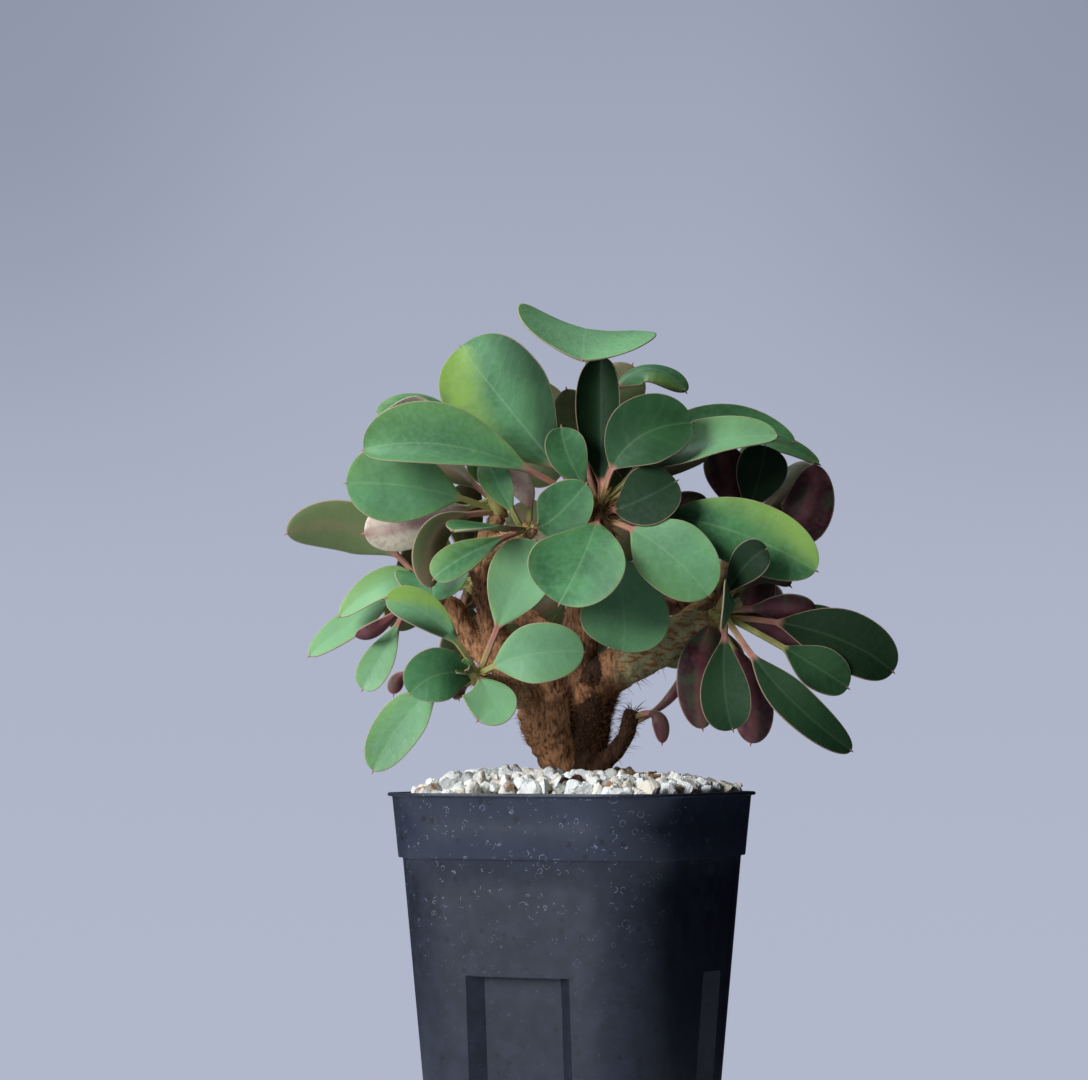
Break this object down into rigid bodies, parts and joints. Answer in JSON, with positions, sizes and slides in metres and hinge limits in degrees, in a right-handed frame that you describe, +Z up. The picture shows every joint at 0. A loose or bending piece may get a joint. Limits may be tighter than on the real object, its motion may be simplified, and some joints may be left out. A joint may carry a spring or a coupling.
{
  "type": "potted euphorbia",
  "caption": "Small shrubby euphorbia with round jade leaves on a bristly trunk, in a square nursery pot filled with soil and topped with pumice.",
  "frame": {"origin": "centre of the pot's underside", "axes": "+Z up; seen from the front, +X to the right and -Y towards the viewer"},
  "size_m": [0.1747, 0.1203, 0.2434],
  "materials": {
    "pot": "injection moulded, fine matte, lime marks",
    "soil": "damp potting soil",
    "pumice": "broken pumice",
    "litter": "dry root and twig",
    "bark": "fuzzy brown bark",
    "leaf": "matte waxy leaf, purple underside"
  },
  "bodies": {
    "root": {"pot": "pot", "soil": "soil", "pumice_gravel": "pumice", "dry_root": "litter", "dry_twig": "litter", "trunk_and_branches": "bark", "rosette_crown": "leaf", "rosette_left_mid": "leaf", "rosette_left_upper": "leaf", "rosette_left_low": "leaf", "rosette_left_far": "leaf", "rosette_right": "leaf", "rosette_right_upper": "leaf", "rosette_top_back": "leaf", "rosette_stub": "leaf", "rosette_back_left": "leaf", "rosette_back_mid": "leaf", "rosette_back_right": "leaf", "rosette_back_low": "leaf"}
  },
  "joints": []
}
